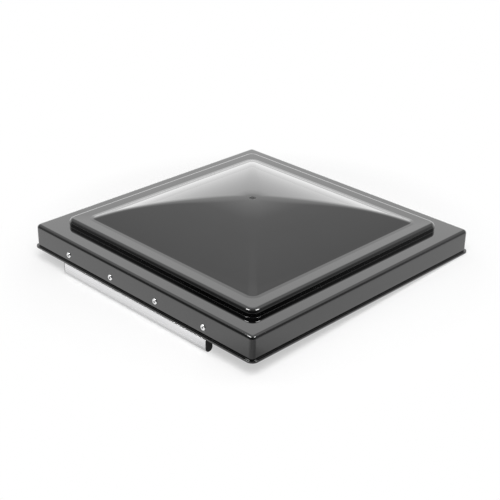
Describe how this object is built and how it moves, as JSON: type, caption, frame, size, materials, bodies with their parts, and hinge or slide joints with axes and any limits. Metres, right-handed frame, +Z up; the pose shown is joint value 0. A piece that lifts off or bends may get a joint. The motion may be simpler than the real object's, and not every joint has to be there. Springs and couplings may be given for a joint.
{
  "type": "caravan roof vent lid",
  "caption": "Square crowned plastic roof vent lid that swings on an aluminium barrel hinge along one side.",
  "frame": {"origin": "under the middle of the lid, at the height of the hinge barrel's lowest point", "axes": "+X along the hinge, +Y from the hinge to the free edge, +Z up out of the lid's crown"},
  "size_m": [0.4064, 0.4064, 0.0905],
  "materials": {
    "lid_plastic": "moulded black gloss",
    "hinge_aluminium": "mill finish extrusion, bright",
    "rail_aluminium": "mill finish extrusion",
    "plug_plastic": "moulded black, fine grain",
    "rivet_aluminium": "formed, satin",
    "mandrel_steel": "drawn wire, dark at the break",
    "seal_foam": "closed cell foam, matte",
    "track_steel": "zinc plated, rolled",
    "screw_steel": "zinc plated"
  },
  "bodies": {
    "hinge_rail": {"hinge_base_rail": "rail_aluminium"},
    "lid": {"hinge_end_plug_left": "plug_plastic", "hinge_end_plug_right": "plug_plastic", "hinge_lid_leaf": "hinge_aluminium", "lid_moulding": "lid_plastic", "lift_track": "track_steel", "rivet_body_1": "rivet_aluminium", "rivet_body_2": "rivet_aluminium", "rivet_body_3": "rivet_aluminium", "rivet_body_4": "rivet_aluminium", "rivet_mandrel_1": "mandrel_steel", "rivet_mandrel_2": "mandrel_steel", "rivet_mandrel_3": "mandrel_steel", "rivet_mandrel_4": "mandrel_steel", "seal_back": "seal_foam", "seal_front": "seal_foam", "seal_left": "seal_foam", "seal_right": "seal_foam", "track_screw_1": "screw_steel", "track_screw_2": "screw_steel"}
  },
  "joints": [
    {"name": "lid_swing", "type": "hinge", "parent": "hinge_rail", "child": "lid", "pos_m": [-0.0043, -0.198, 0.0052], "axis": [1, 0, 0], "range_deg": [0, 50]}
  ]
}
